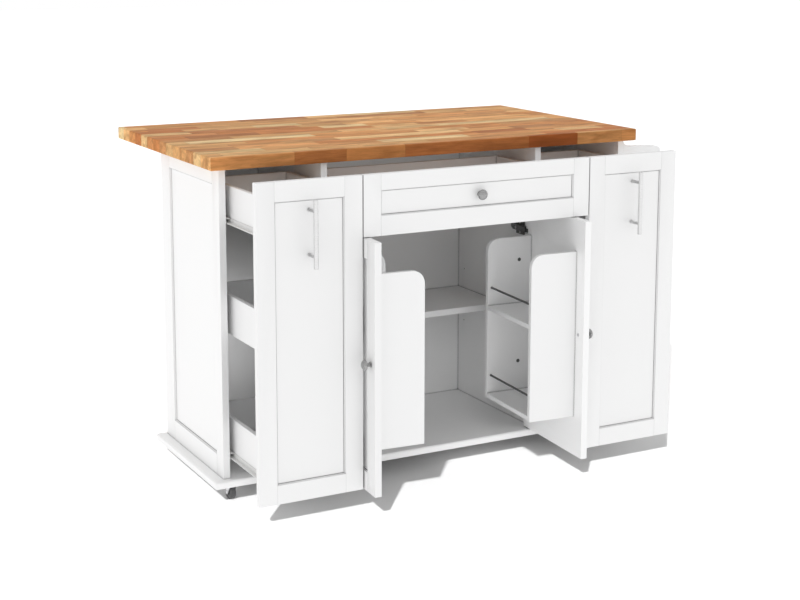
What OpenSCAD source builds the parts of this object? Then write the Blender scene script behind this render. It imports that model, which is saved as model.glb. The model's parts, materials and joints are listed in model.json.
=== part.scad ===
// Kitchen island on casters with a drop leaf, two pull-outs, a drawer and two doors.
// Millimetres, +Z up, +Y towards the leaf; the fronts face -Y.

/* [Worktop] */
// Length of the worktop
top_w = 1320; // [1240:10:1500]
// Overhang of the worktop's fixed part past the back panel
top_back = 27; // [27:1:40]
// Depth of the drop leaf
leaf_d = 258; // [180:1:300]
// Thickness of the worktop and the leaf
top_t = 34; // [20:1:45]
// Height of the worktop's upper face above the floor
island_h = 930; // [900:5:960]
// Joint between the worktop and the leaf
leaf_gap = 1; // [0.5:0.1:2]
// Easing of the wooden edges
top_ease = 2; // [0.5:0.5:4]

/* [Carcass] */
// Thickness of the side panels, dividers, shelf and fronts
board_t = 18; // [15:1:20]
// Overhang of the worktop past each side panel
end_overhang = 29; // [20:1:40]
// Overhang of the worktop past the front of the carcass
front_overhang = 21; // [20:1:30]
// Thickness of the back panel
back_t = 15; // [8:1:18]
// Clear width of each side bay
side_bay_w = 269; // [250:1:300]
// Thickness of the base board
base_t = 18; // [15:1:25]
// Depth of the base board
base_d = 465; // [455:1:475]
// Ledge of the base board behind the back panel
base_back = 7; // [4:1:12]
// Easing of the base board's upper edges
base_ease = 3; // [1:0.5:5]
// Depth of each rail under the worktop
rail_d = 60; // [40:1:80]
// Set-back of the front rail from the carcass front
rail_back = 200; // [100:1:220]

/* [Framed boards] */
// Width of the frame round each front's panel
frame_w = 49; // [35:1:60]
// Depth of the recessed panels
recess = 6; // [3:0.5:8]
// Width of the bead round each recessed panel
bead_w = 2; // [1:0.5:5]
// Width of the groove between the bead and the panel
crease_w = 2; // [1:0.5:3]
// Depth of that groove below the panel
crease_deep = 3; // [1:0.5:4]
// Rear stile of the side panels
side_rear_stile = 67; // [50:1:80]
// Front stile of the side panels
side_front_stile = 47; // [35:1:60]
// Bottom rail of the side panels
side_bottom_rail = 55; // [40:1:70]
// Top rail of the side panels
side_top_rail = 42; // [30:1:60]
// Bottom rail of the drawer front
drawer_bottom_rail = 51; // [40:1:55]
// Top rail of the drawer front
drawer_top_rail = 41; // [30:1:50]
// Width of the fine grooves where the frames' boards meet
joint_w = 0.6; // [0.4:0.1:1]
// Depth of those grooves
joint_deep = 0.5; // [0.3:0.1:1]

/* [Fronts] */
// Gap between neighbouring fronts
front_gap = 3.5; // [2:0.5:5]
// Gap between the base board and the fronts above it
floor_gap = 3; // [2:0.5:5]
// Gap between the drawer front and the doors below it
door_top_gap = 2; // [1.5:0.5:4]
// Gap between the worktop and the fronts below it
under_top_gap = 2.5; // [1.5:0.5:5]
// Overlap of each pull-out front past its side panel
front_overlap = 1; // [0:0.5:2]
// Height of the drawer front
drawer_front_h = 158; // [150:0.5:170]
// How far the open pull-outs and drawer stay behind the tip of an open door
open_less = 98; // [98:1:180]

/* [Boxes] */
// Depth of the trays and the drawer box
box_d = 400; // [380:1:405]
// Wall of the trays and the drawer box
box_wall = 12; // [9:1:15]
// Bottom of the trays and the drawer box
box_floor = 6; // [4:1:9]
// Height of the top tray
top_tray_h = 94; // [80:1:120]
// Height of the middle tray
mid_tray_h = 104; // [80:1:130]
// Height of the bottom tray
low_tray_h = 100; // [80:1:120]
// Underside of the bottom tray above the base board
low_tray_up = 55; // [20:1:80]
// Underside of the middle tray above the base board
mid_tray_up = 382; // [320:1:400]
// Top of the top tray below the worktop
top_tray_down = 46; // [40:1:60]
// Height of the drawer box
drawer_box_h = 100; // [70:1:110]
// Underside of the drawer box above the drawer front's lower edge
drawer_box_up = 15; // [8:1:20]

/* [Runners] */
// Space for a runner between a box and its bay
runner_w = 15; // [13:1:16]
// Thickness of the runner metal
runner_t = 1.5; // [1:0.1:2]
// Clear height inside the fixed runner
runner_h = 12; // [10:1:20]
// Length of the fixed runner
runner_len = 400; // [380:1:405]
// Gap between sliding metal faces
slide_gap = 0.3; // [0.2:0.1:0.5]

/* [Shelf] */
// Height of the shelf's upper face above the base board
shelf_up = 334; // [250:1:420]
// Set-back of the shelf's front edge from the carcass front
shelf_back = 169; // [165:1:200]
// Gap between the shelf and each divider
shelf_side_gap = 1; // [0.5:0.5:2]
// Radius of a shelf pin
pin_r = 2.5; // [2:0.5:3]
// Depth of each shelf pin's bore
pin_bore = 10; // [8:1:12]
// Length of a shelf pin that carries the shelf
pin_out = 9; // [7:1:12]
// Spacing of the shelf pin bores
pin_step = 81; // [50:1:100]
// Distance of the pin bores from the shelf's edges
pin_inset = 34; // [20:1:50]

/* [Doors] */
// Gap at the hinge edge of each door
door_side_gap = 2.5; // [1.5:0.5:4]
// Gap between the two doors
door_mid_gap = 2.5; // [2:0.5:4]
// Distance of the hinge axis from the door's edge and face
hinge_in = 4.5; // [4:0.1:6]
// Angle at which the left door stands open
left_door_angle = 94; // [60:1:94]
// Angle at which the right door stands open
right_door_angle = 86; // [60:1:94]
// Height of each hinge above or below the door's ends
hinge_end = 80; // [40:1:100]
// Height of the hinge arm
hinge_h = 14; // [8:1:16]
// Depth of the hinge arm behind the axis
hinge_arm = 85; // [60:1:95]
// Width of the hinge body beside the divider
hinge_body_w = 16; // [10:1:17]
// Distance of the hinge body behind the axis
hinge_body_back = 20; // [18:1:30]
// Radius of the hinge pin
hinge_pin_r = 2; // [1.5:0.1:2.5]
// Depth of the hinge pin in the door, above and below the arm
hinge_pin_in = 8; // [5:1:12]
// Height and width of the hinge's mounting plate
hinge_plate = 40; // [30:1:50]

/* [Door racks] */
// Depth of the racks
rack_d = 138; // [100:1:138]
// Thickness of the rack boards
rack_t = 12; // [9:1:14]
// Height of the rack's lower end above the base board
rack_up = 112; // [60:1:140]
// Height of the rack boards
rack_h = 458; // [380:1:480]
// Distance from the door's free edge to the rack
rack_from_edge = 41.5; // [41:0.5:60]
// Distance from the door's hinge edge to the rack
rack_from_hinge = 20; // [16:0.5:30]
// Corner radius of the rack boards
rack_r = 34; // [15:1:45]
// Height of the middle rack shelf's upper face above the rack's lower end
rack_mid_up = 268; // [200:1:300]
// Height of the rods above their shelves
rod_up = 51; // [40:1:90]
// Radius of the rods
rod_r = 3; // [2:0.5:4]
// Distance of the rods from the rack's outer edge
rod_in = 12; // [8:1:20]
// Wood left between a rod's end and the rack's outer face
rod_end = 4; // [2:1:7]

/* [Handles] */
// Length of the pull-out handles
handle_len = 172; // [140:1:200]
// Distance between the handle's posts
handle_posts = 113; // [96:1:128]
// Radius of the handle bar
handle_r = 6; // [4:0.5:7]
// Radius of the handle posts
post_r = 4.5; // [3:0.5:5]
// Distance of the handle bar's axis from the front
handle_out = 34; // [28:1:38]
// Top of the handle below the top of its front
handle_down = 46; // [30:1:60]
// Radius of the knobs
knob_r = 14; // [10:1:16]
// Length of the knobs
knob_len = 25; // [20:1:26]
// Radius of the knob's stem
knob_stem_r = 5; // [4:0.5:7]
// Distance of a door knob from the door's free edge
knob_in = 27; // [22:1:32]
// Height of the door knobs above the base board
door_knob_up = 344; // [280:1:450]

/* [Leaf supports] */
// Reach of each swinging bracket
bracket_reach = 228; // [150:1:229]
// Height of a bracket at its hinge
bracket_h = 172; // [140:1:200]
// Height of a bracket's outer end
bracket_tip_h = 41; // [25:1:60]
// Gap between a bracket and the worktop's underside
bracket_gap = 0.6; // [0.4:0.1:2]
// Radius of the hinge barrels
barrel_r = 3.8; // [3:0.1:4]
// Radius of the pins in the barrels
barrel_pin_r = 1.6; // [1:0.1:2]
// Thickness of the hinge flaps
flap_t = 1.5; // [1:0.1:2]
// Width of a leaf hinge
leaf_hinge_w = 60; // [40:1:80]
// Distance of the outer leaf hinges from the worktop's ends
leaf_hinge_x = 325; // [315:1:400]
// Width of the flaps away from the barrel
flap_w = 22; // [18:1:22]
// Height of a bracket hinge
bracket_hinge_h = 45; // [30:1:50]

/* [End rack] */
// Reach of the rack on the right end
end_rack_reach = 137; // [100:1:150]
// Height of the end rack's boards
end_rack_h = 190; // [150:1:260]
// Height of the end rack's front rail
end_rail_h = 30; // [20:1:40]
// Height of the front rail above the end rack's shelf
end_rail_up = 42; // [20:1:60]

/* [Casters] */
// Height of the casters
caster_h = 57; // [50:1:65]
// Radius of the wheels
wheel_r = 20; // [15:1:22]
// Width of the wheels
wheel_w = 17; // [12:1:20]
// Trail of the wheels behind the swivel
trail = 16; // [10:1:20]
// Distance of the casters from the base board's ends
caster_x = 67; // [50:1:90]
// Distance of the casters from the base board's front and back
caster_y = 55; // [50:1:80]
// Side of the caster's square plate
caster_plate = 44; // [38:1:50]
// Thickness of the caster's plate
caster_plate_t = 2.5; // [2:0.5:3]
// Radius of the axles
axle_r = 3; // [2:0.5:4]
// Thickness of the fork metal
fork_t = 2; // [1.5:0.5:3]

/* [Hidden] */
$fn = 48;

cut = 1;
run_clear = 0.06;
snug_clear = 0.02;

// Heights
base_z = caster_h;
floor_z = base_z + base_t;
top_z = island_h - top_t;
carcass_h = top_z - floor_z;

// Places along X
left_in = end_overhang + board_t;
divider_x = left_in + side_bay_w;
centre_x0 = divider_x + board_t;
centre_w = top_w - 2 * centre_x0;
door_w = (centre_w - 2 * door_side_gap - door_mid_gap) / 2;

// Places along Y
back_y = base_d - base_back;
carcass_d = back_y - front_overhang;
bay_back_y = back_y - back_t;
open_out = door_w - open_less;
front_y = front_overhang - board_t - open_out;
box_y = front_y + board_t;
top_d = back_y + top_back;
leaf_y = top_d + leaf_gap;

// Fronts
pull_x = end_overhang - front_overlap;
pull_w = divider_x - pull_x;
front_z = floor_z + floor_gap;
front_top = top_z - under_top_gap;
pull_h = front_top - front_z;
drawer_x = divider_x + front_gap;
drawer_w = top_w - 2 * drawer_x;
drawer_z = front_top - drawer_front_h;

// Trays: height above the floor and height of each
tray_zs = [floor_z + low_tray_up, floor_z + mid_tray_up, top_z - top_tray_down - top_tray_h];
tray_hs = [low_tray_h, mid_tray_h, top_tray_h];
runner_zs = [tray_zs[0], tray_zs[2]];
tray_x = left_in + runner_w;
tray_w = side_bay_w - 2 * runner_w;
drawer_box_x = centre_x0 + runner_w;
drawer_box_w = centre_w - 2 * runner_w;
drawer_box_z = drawer_z + drawer_box_up;

// Runners
lip = 11;
runner_back = 2;
rail_gap = 1;
rail_under = 10;
runner_y = front_overhang + runner_back;

// Shelf
shelf_z = floor_z + shelf_up - board_t;
shelf_y = front_overhang + shelf_back;
pin_below = 0.1;
pin_z = shelf_z - pin_r - pin_below;
pin_end = 1;
pin_ys = [shelf_y + pin_inset, bay_back_y - pin_inset];

// Doors
door_h = drawer_z - door_top_gap - front_z;
axis_x = centre_x0 + door_side_gap + hinge_in;
axis_y = front_overhang + hinge_in;
hinge_zs = [front_z + hinge_end, front_z + door_h - hinge_end];
eye_less = 0.1;
eye_r = hinge_in - eye_less;
notch_gap = 0.5;
notch_in = hinge_in + eye_r + 3 * notch_gap;
plate_t = door_side_gap + 1;
rack_z = floor_z + rack_up;
rack_s0 = rack_from_hinge;
rack_s1 = door_w - rack_from_edge;

// Leaf hinges and brackets
knuckle_gap = 0.3;
barrel_seat = 0.3;
flap_lap = 0.5;
leaf_axis_y = top_d + leaf_gap / 2;
leaf_axis_z = top_z - barrel_r - barrel_seat;
leaf_hinge_xs = [leaf_hinge_x, top_w / 2, top_w - leaf_hinge_x];
bracket_axis_x = left_in + barrel_r;
bracket_axis_y = back_y + barrel_r + barrel_seat;
bracket_y = bracket_axis_y + barrel_r + barrel_seat;
bracket_edge = 2;
bracket_x = bracket_axis_x - bracket_edge;
bracket_top = top_z - bracket_gap;
low_hinge_up = 20;
high_hinge_down = 15;
bracket_hinge_zs = [bracket_top - bracket_h + low_hinge_up,
    bracket_top - bracket_hinge_h - high_hinge_down];

// Casters
disc_t = 2.7;
swivel_gap = 0.3;
fork_top = caster_h - caster_plate_t - swivel_gap;
stem_r = 4;
stem_short = 0.2;
caster_ys = [caster_y, base_d - caster_y];

// The origin is the middle of the base of the box that holds the island at rest
mid_x = (top_w - end_overhang + end_rack_reach) / 2;
door_tip_y = axis_y - door_w + hinge_in;
mid_y = (door_tip_y + leaf_y + leaf_d) / 2;

module place() translate([-mid_x, -mid_y, 0]) children();

module flip_x() translate([top_w, 0, 0]) mirror([1, 0, 0]) children();

// A board in X, Y and Z whose upper edges are eased on the named sides
module eased_slab(w, d, h, c, bottom = true, back = true) {
    low = bottom ? c : 0;
    rear = back ? c : 0;
    intersection() {
        translate([0, d, 0])
            rotate([90, 0, 0])
                linear_extrude(d)
                    polygon([[low, 0], [w - low, 0], [w, low], [w, h - c], [w - c, h],
                        [c, h], [0, h - c], [0, low]]);
        rotate([90, 0, 90])
            linear_extrude(w)
                polygon([[low, 0], [d - min(low, rear), 0], [d, min(low, rear)], [d, h - rear],
                    [d - rear, h], [c, h], [0, h - c], [0, low]]);
    }
}

// A cut of a given depth into a face at y = 0 that looks towards -Y, set in from the corners
module sunk(x0, z0, x1, z1, inset, deep) {
    translate([x0 + inset, -cut, z0 + inset])
        cube([x1 - x0 - 2 * inset, cut + deep, z1 - z0 - 2 * inset]);
}

// A pocket with a bead round it and a groove between the bead and the panel
module pocket(x0, z0, x1, z1) {
    sunk(x0, z0, x1, z1, 0, recess / 2);
    sunk(x0, z0, x1, z1, bead_w, recess);
    difference() {
        sunk(x0, z0, x1, z1, bead_w, recess + crease_deep);
        sunk(x0, z0, x1, z1, bead_w + crease_w, recess + crease_deep + cut);
    }
}

// Fine grooves where the upper and lower boards of a frame meet the upright ones
module joint_grooves(w, h, left, right, bottom, top) {
    for (x = [left, w - right], z = [[-cut, bottom + cut], [h - top - cut, h + cut]])
        translate([x - joint_w / 2, -cut, z[0]])
            cube([joint_w, cut + joint_deep, z[1] - z[0]]);
}

// A framed board that stands on its lower edge, with its face at y = 0
module framed_board(w, h, left, right, bottom, top) {
    difference() {
        cube([w, board_t, h]);
        pocket(left, bottom, w - right, h - top);
        joint_grooves(w, h, left, right, bottom, top);
    }
}

// Carcass

module base_board() {
    color("white") place()
        translate([0, 0, base_z])
            eased_slab(top_w, base_d, base_t, base_ease, bottom = false);
}

module side_panel_shape() {
    translate([end_overhang, back_y, floor_z])
        rotate([0, 0, -90])
            framed_board(carcass_d, carcass_h, side_rear_stile, side_front_stile,
                side_bottom_rail, side_top_rail);
}

module left_side_panel() {
    color("white") place() side_panel_shape();
}

module right_side_panel() {
    color("white") place() flip_x() side_panel_shape();
}

module shelf_bores() {
    for (y = pin_ys, step = [-1:1])
        translate([centre_x0 - pin_bore, y, pin_z + step * pin_step])
            rotate([0, 90, 0])
                cylinder(r = pin_r + snug_clear, h = pin_bore + cut);
}

module divider_shape() {
    difference() {
        translate([divider_x, front_overhang, floor_z])
            cube([board_t, carcass_d - back_t, carcass_h]);
        shelf_bores();
    }
}

module left_divider() {
    color("white") place() divider_shape();
}

module right_divider() {
    color("white") place() flip_x() divider_shape();
}

module back_panel() {
    color("white") place()
        translate([left_in, bay_back_y, floor_z])
            cube([top_w - 2 * left_in, back_t, carcass_h]);
}

module top_rails() {
    xs = [left_in, centre_x0, top_w - divider_x];
    ws = [side_bay_w, centre_w, side_bay_w];
    color("white") place()
        for (i = [0:2], y = [front_overhang + rail_back, bay_back_y - rail_d])
            translate([xs[i], y, top_z - board_t])
                cube([ws[i], rail_d, board_t]);
}

module shelf() {
    color("white") place()
        translate([centre_x0 + shelf_side_gap, shelf_y, shelf_z])
            cube([centre_w - 2 * shelf_side_gap, bay_back_y - shelf_y, board_t]);
}

module shelf_pins_side() {
    for (y = pin_ys)
        translate([centre_x0 - pin_bore + pin_end, y, pin_z])
            rotate([0, 90, 0])
                cylinder(r = pin_r, h = pin_bore - pin_end + pin_out);
}

module shelf_pins() {
    color("silver") place() {
        shelf_pins_side();
        flip_x() shelf_pins_side();
    }
}

// Runners: a channel on the bay's wall, and a rail under the box's lower edge that runs in it

module channel(x, z) {
    low = z - runner_t - slide_gap;
    translate([x, runner_y, low - runner_t]) {
        cube([runner_t, runner_len, runner_h + 2 * runner_t]);
        cube([lip, runner_len, runner_t]);
        translate([0, 0, runner_h + runner_t])
            cube([lip, runner_len, runner_t]);
    }
}

module rail(x, z) {
    translate([x + runner_t + rail_gap, box_y, z - runner_t])
        cube([runner_w - runner_t - rail_gap + rail_under, box_d, runner_t]);
    translate([x + runner_w - runner_t, box_y, z - runner_t])
        cube([runner_t, box_d, runner_h]);
}

module channels_left_half() {
    for (z = runner_zs) {
        channel(left_in, z);
        translate([left_in + divider_x, 0, 0])
            mirror([1, 0, 0])
                channel(left_in, z);
    }
    channel(centre_x0, drawer_box_z);
}

module fixed_runners() {
    color("gainsboro") place() {
        channels_left_half();
        flip_x() channels_left_half();
    }
}

module pullout_rails() {
    for (z = runner_zs) {
        rail(left_in, z);
        translate([left_in + divider_x, 0, 0])
            mirror([1, 0, 0])
                rail(left_in, z);
    }
}

// Door hinges: an arm on the divider ends in an eye that holds the pin the door turns on

module hinge_arm_shape() {
    difference() {
        union() {
            cylinder(r = eye_r, h = hinge_h);
            translate([-eye_r, 0, 0])
                cube([2 * eye_r, hinge_arm, hinge_h]);
            translate([-hinge_in - door_side_gap, hinge_body_back, 0])
                cube([hinge_body_w, hinge_arm - hinge_body_back, hinge_h]);
            translate([-hinge_in - door_side_gap, hinge_arm - hinge_plate, (hinge_h - hinge_plate) / 2])
                cube([plate_t, hinge_plate, hinge_plate]);
        }
        translate([0, 0, -cut])
            cylinder(r = hinge_pin_r + snug_clear, h = hinge_h + 2 * cut);
    }
}

module hinge_arms_side() {
    for (z = hinge_zs)
        translate([axis_x, axis_y, z - hinge_h / 2])
            hinge_arm_shape();
}

module door_hinge_arms() {
    color("dimgray") place() {
        hinge_arms_side();
        flip_x() hinge_arms_side();
    }
}

module hinge_pins_side() {
    for (z = hinge_zs)
        translate([axis_x, axis_y, z - hinge_h / 2 - hinge_pin_in])
            cylinder(r = hinge_pin_r, h = hinge_h + 2 * hinge_pin_in);
}

module door_hinge_pins() {
    color("silver") place() {
        hinge_pins_side();
        flip_x() hinge_pins_side();
    }
}

// Worktop, leaf and the hinges between them

module worktop() {
    color("peru") place()
        translate([0, 0, top_z])
            eased_slab(top_w, top_d, top_t, top_ease, back = false);
}

module drop_leaf() {
    color("peru") place()
        translate([0, leaf_y + leaf_d, top_z])
            mirror([0, 1, 0])
                eased_slab(top_w, leaf_d, top_t, top_ease, back = false);
}

// Knuckles along Z from z = 0, the odd or the even ones of three
module knuckles(len, odd, bore) {
    third = (len - 2 * knuckle_gap) / 3;
    starts = odd ? [0, 2 * (third + knuckle_gap)] : [third + knuckle_gap];
    for (z = starts)
        translate([0, 0, z])
            difference() {
                cylinder(r = barrel_r, h = third);
                translate([0, 0, -cut])
                    cylinder(r = bore, h = third + 2 * cut);
            }
}

// A flap with its knuckles round the Z axis. It lies on the side of +X, and its outer face clears
// the barrel
module flap(len, odd, bore) {
    third = (len - 2 * knuckle_gap) / 3;
    starts = odd ? [0, 2 * (third + knuckle_gap)] : [third + knuckle_gap];
    difference() {
        union() {
            knuckles(len, odd, bore);
            for (z = starts)
                translate([0, barrel_r + barrel_seat - flap_t, z])
                    cube([barrel_r + 2 * flap_lap, flap_t, third]);
            translate([barrel_r + flap_lap, barrel_r + barrel_seat - flap_t, 0])
                cube([flap_w, flap_t, len]);
        }
        translate([0, 0, -cut])
            cylinder(r = bore, h = len + 2 * cut);
    }
}

module at_leaf_hinges() {
    for (x = leaf_hinge_xs)
        translate([x - leaf_hinge_w / 2, leaf_axis_y, leaf_axis_z])
            rotate([90, 0, 90])
                children();
}

module leaf_hinge_fixed_flaps() {
    color("silver") place()
        at_leaf_hinges()
            mirror([1, 0, 0])
                flap(leaf_hinge_w, true, barrel_pin_r + snug_clear);
}

module leaf_hinge_moving_flaps() {
    color("silver") place()
        at_leaf_hinges()
            flap(leaf_hinge_w, false, barrel_pin_r + run_clear);
}

module leaf_hinge_pins() {
    color("gray") place()
        at_leaf_hinges()
            cylinder(r = barrel_pin_r, h = leaf_hinge_w);
}

// Swinging brackets, folded flat behind the back panel

module bracket_outline() {
    foot = 54;
    step = 4;
    low = bracket_top - bracket_h;
    polygon(concat(
        [[0, bracket_top], [bracket_reach, bracket_top], [bracket_reach, bracket_top - bracket_tip_h],
            [foot + 2 * step, low + step]],
        [for (a = [0:30:90]) [foot + step * cos(a), low + step - step * sin(a)]],
        [[0, low]]));
}

module bracket_body() {
    translate([bracket_x, bracket_y + board_t, 0])
        rotate([90, 0, 0])
            linear_extrude(board_t)
                bracket_outline();
    for (z = bracket_hinge_zs)
        translate([bracket_axis_x, bracket_axis_y, z])
            flap(bracket_hinge_h, true, barrel_pin_r + run_clear);
}

module left_bracket() {
    color("white") place() bracket_body();
}

module right_bracket() {
    color("white") place() flip_x() bracket_body();
}

module bracket_fixed_side() {
    for (z = bracket_hinge_zs)
        translate([bracket_axis_x, bracket_axis_y, z])
            mirror([0, 1, 0])
                flap(bracket_hinge_h, false, barrel_pin_r + snug_clear);
}

module bracket_hinge_fixed_flaps() {
    color("silver") place() {
        bracket_fixed_side();
        flip_x() bracket_fixed_side();
    }
}

module bracket_pins_side() {
    for (z = bracket_hinge_zs)
        translate([bracket_axis_x, bracket_axis_y, z])
            cylinder(r = barrel_pin_r, h = bracket_hinge_h);
}

module bracket_hinge_pins() {
    color("gray") place() {
        bracket_pins_side();
        flip_x() bracket_pins_side();
    }
}

// Rack on the right end

end_x = top_w - end_overhang;
end_top = top_z - under_top_gap;
end_shelf_up = 10;
end_shelf_in = 8;
end_shelf_z = end_top - end_rack_h + end_shelf_up;

module end_rack_outline() {
    hollow_r = 35;
    nose_r = 20;
    drop = 17;
    nose_top = end_top - drop - 4;
    polygon(concat(
        [[0, end_top - end_rack_h], [0, end_top]],
        [for (a = [0:15:90]) [hollow_r * (1 - cos(a)), end_top - drop * sin(a)]],
        [for (a = [90:-15:0]) [end_rack_reach - nose_r + nose_r * cos(a),
            nose_top - nose_r + nose_r * sin(a)]],
        [for (a = [0:-15:-90]) [end_rack_reach - nose_r + nose_r * cos(a),
            end_top - end_rack_h + nose_r + nose_r * sin(a)]]));
}

module end_rack_sides() {
    color("white") place()
        for (y = [front_overhang + board_t, back_y])
            translate([end_x, y, 0])
                rotate([90, 0, 0])
                    linear_extrude(board_t)
                        end_rack_outline();
}

module end_rack_shelf() {
    color("white") place()
        translate([end_x, front_overhang + board_t, end_shelf_z])
            cube([end_rack_reach - end_shelf_in, carcass_d - 2 * board_t, box_wall]);
}

module end_rack_rail() {
    color("white") place()
        translate([end_x + end_rack_reach - end_shelf_in - box_wall, front_overhang + board_t,
            end_shelf_z + box_wall + end_rail_up])
            cube([box_wall, carcass_d - 2 * board_t, end_rail_h]);
}

// Pull-outs

module pullout_front_shape() {
    translate([pull_x, front_y, front_z])
        framed_board(pull_w, pull_h, frame_w, frame_w, frame_w, frame_w);
}

module left_pullout_front() {
    color("white") place() pullout_front_shape();
}

module right_pullout_front() {
    color("white") place() flip_x() pullout_front_shape();
}

module handle_shape() {
    face = front_y + recess;
    bar_y = front_y - handle_out;
    bar_z = front_top - handle_down - handle_len;
    translate([pull_x + pull_w / 2, 0, bar_z]) {
        translate([0, bar_y, 0])
            cylinder(r = handle_r, h = handle_len);
        for (z = [handle_len / 2 - handle_posts / 2, handle_len / 2 + handle_posts / 2])
            translate([0, face, z])
                rotate([90, 0, 0])
                    cylinder(r = post_r, h = face - bar_y);
    }
}

module left_pullout_handle() {
    color("silver") place() handle_shape();
}

module right_pullout_handle() {
    color("silver") place() flip_x() handle_shape();
}

module tray(x, w, z, h) {
    difference() {
        translate([x, box_y, z])
            cube([w, box_d, h]);
        translate([x + box_wall, box_y + box_wall, z + box_floor])
            cube([w - 2 * box_wall, box_d - 2 * box_wall, h]);
    }
}

module trays_shape() {
    for (i = [0:2])
        tray(tray_x, tray_w, tray_zs[i], tray_hs[i]);
}

module left_pullout_trays() {
    color("white") place() trays_shape();
}

module right_pullout_trays() {
    color("white") place() flip_x() trays_shape();
}

module left_pullout_runners() {
    color("gainsboro") place() pullout_rails();
}

module right_pullout_runners() {
    color("gainsboro") place() flip_x() pullout_rails();
}

// Drawer

module drawer_front() {
    color("white") place()
        translate([drawer_x, front_y, drawer_z])
            framed_board(drawer_w, drawer_front_h, frame_w, frame_w, drawer_bottom_rail,
                drawer_top_rail);
}

// A knob that stands on z = 0: a foot, a stem and a round head
module knob_shape() {
    step = 2;
    foot_r = knob_stem_r + step;
    head = knob_len * 0.45;
    head_z = knob_len - head;
    rotate_extrude()
        polygon(concat(
            [[0, 0], [foot_r, 0], [foot_r, step], [knob_stem_r, 2 * step],
                [knob_stem_r, head_z - step]],
            [for (a = [0:15:90]) [knob_stem_r + (knob_r - knob_stem_r) * sin(a),
                head_z - step + 2 * step * (1 - cos(a))]],
            [for (a = [0:15:90]) [knob_r * cos(a), head_z + step + (head - step) * sin(a)]]));
}

module drawer_knob() {
    knob_z = drawer_z + drawer_bottom_rail + (drawer_front_h - drawer_bottom_rail - drawer_top_rail) / 2;
    color("silver") place()
        translate([top_w / 2, front_y + recess, knob_z])
            rotate([90, 0, 0])
                knob_shape();
}

module drawer_box() {
    color("white") place()
        difference() {
            translate([drawer_box_x, box_y, drawer_box_z])
                cube([drawer_box_w, box_d, drawer_box_h]);
            translate([drawer_box_x + box_wall, box_y + box_wall, drawer_box_z - cut])
                cube([drawer_box_w - 2 * box_wall, box_d - 2 * box_wall, drawer_box_h + 2 * cut]);
        }
}

module drawer_bottom() {
    color("white") place()
        translate([drawer_box_x + box_wall, box_y + box_wall, drawer_box_z])
            cube([drawer_box_w - 2 * box_wall, box_d - 2 * box_wall, box_floor]);
}

module drawer_runners() {
    color("gainsboro") place() {
        rail(centre_x0, drawer_box_z);
        flip_x() rail(centre_x0, drawer_box_z);
    }
}

// Doors. Each is drawn closed in its own frame: x from the hinge edge, y from the outer face.

module at_door(open) {
    translate([axis_x, axis_y, 0])
        rotate([0, 0, -open])
            translate([-hinge_in, -hinge_in, 0])
                children();
}

module door_shape() {
    difference() {
        translate([0, 0, front_z])
            framed_board(door_w, door_h, frame_w, frame_w, frame_w, frame_w);
        for (z = hinge_zs) {
            translate([-cut, -cut, z - hinge_h / 2 - notch_gap])
                cube([notch_in + cut, board_t + 2 * cut, hinge_h + 2 * notch_gap]);
            translate([hinge_in, hinge_in, z - hinge_h / 2 - hinge_pin_in - notch_gap])
                cylinder(r = hinge_pin_r + run_clear, h = hinge_h + 2 * (hinge_pin_in + notch_gap));
        }
    }
}

module door_knob_shape() {
    translate([door_w - knob_in, 0, floor_z + door_knob_up])
        rotate([90, 0, 0])
            knob_shape();
}

module rack_outline() {
    polygon(concat(
        [[0, 0], [rack_d, 0]],
        [for (a = [0:15:90]) [rack_d - rack_r + rack_r * cos(a), rack_h - rack_r + rack_r * sin(a)]],
        [[0, rack_h]]));
}

low_shelf_up = 2;
rod_zs = [rack_t + low_shelf_up + rod_up, rack_mid_up + rod_up];

module rack_rods_shape(r, end) {
    for (z = rod_zs)
        translate([rack_s0 + end, board_t + rack_d - rod_in, rack_z + z])
            rotate([0, 90, 0])
                cylinder(r = r, h = rack_s1 - rack_s0 - 2 * end);
}

module rack_sides_shape() {
    difference() {
        for (s = [rack_s0, rack_s1 - rack_t])
            translate([s, board_t, rack_z])
                rotate([90, 0, 90])
                    linear_extrude(rack_t)
                        rack_outline();
        rack_rods_shape(rod_r + snug_clear, rod_end - snug_clear);
    }
}

module rack_shelves_shape() {
    for (z = [low_shelf_up, rack_mid_up - rack_t])
        translate([rack_s0 + rack_t, board_t, rack_z + z])
            cube([rack_s1 - rack_s0 - 2 * rack_t, rack_d, rack_t]);
}

module left_door() {
    color("white") place() at_door(left_door_angle) door_shape();
}

module left_door_knob() {
    color("silver") place() at_door(left_door_angle) door_knob_shape();
}

module left_rack_sides() {
    color("white") place() at_door(left_door_angle) rack_sides_shape();
}

module left_rack_shelves() {
    color("white") place() at_door(left_door_angle) rack_shelves_shape();
}

module left_rack_rods() {
    color("dimgray") place() at_door(left_door_angle) rack_rods_shape(rod_r, rod_end);
}

module right_door() {
    color("white") place() flip_x() at_door(right_door_angle) door_shape();
}

module right_door_knob() {
    color("silver") place() flip_x() at_door(right_door_angle) door_knob_shape();
}

module right_rack_sides() {
    color("white") place() flip_x() at_door(right_door_angle) rack_sides_shape();
}

module right_rack_shelves() {
    color("white") place() flip_x() at_door(right_door_angle) rack_shelves_shape();
}

module right_rack_rods() {
    color("dimgray") place() flip_x() at_door(right_door_angle) rack_rods_shape(rod_r, rod_end);
}

// Casters

module caster_places() {
    for (x = [caster_x, top_w - caster_x], y = caster_ys)
        translate([x, y, 0])
            children();
}

module caster_plates() {
    color("silver") place()
        caster_places()
            difference() {
                translate([-caster_plate / 2, -caster_plate / 2, caster_h - caster_plate_t])
                    cube([caster_plate, caster_plate, caster_plate_t]);
                translate([0, 0, caster_h - caster_plate_t - cut])
                    cylinder(r = stem_r + run_clear, h = caster_plate_t + 2 * cut);
            }
}

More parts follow.
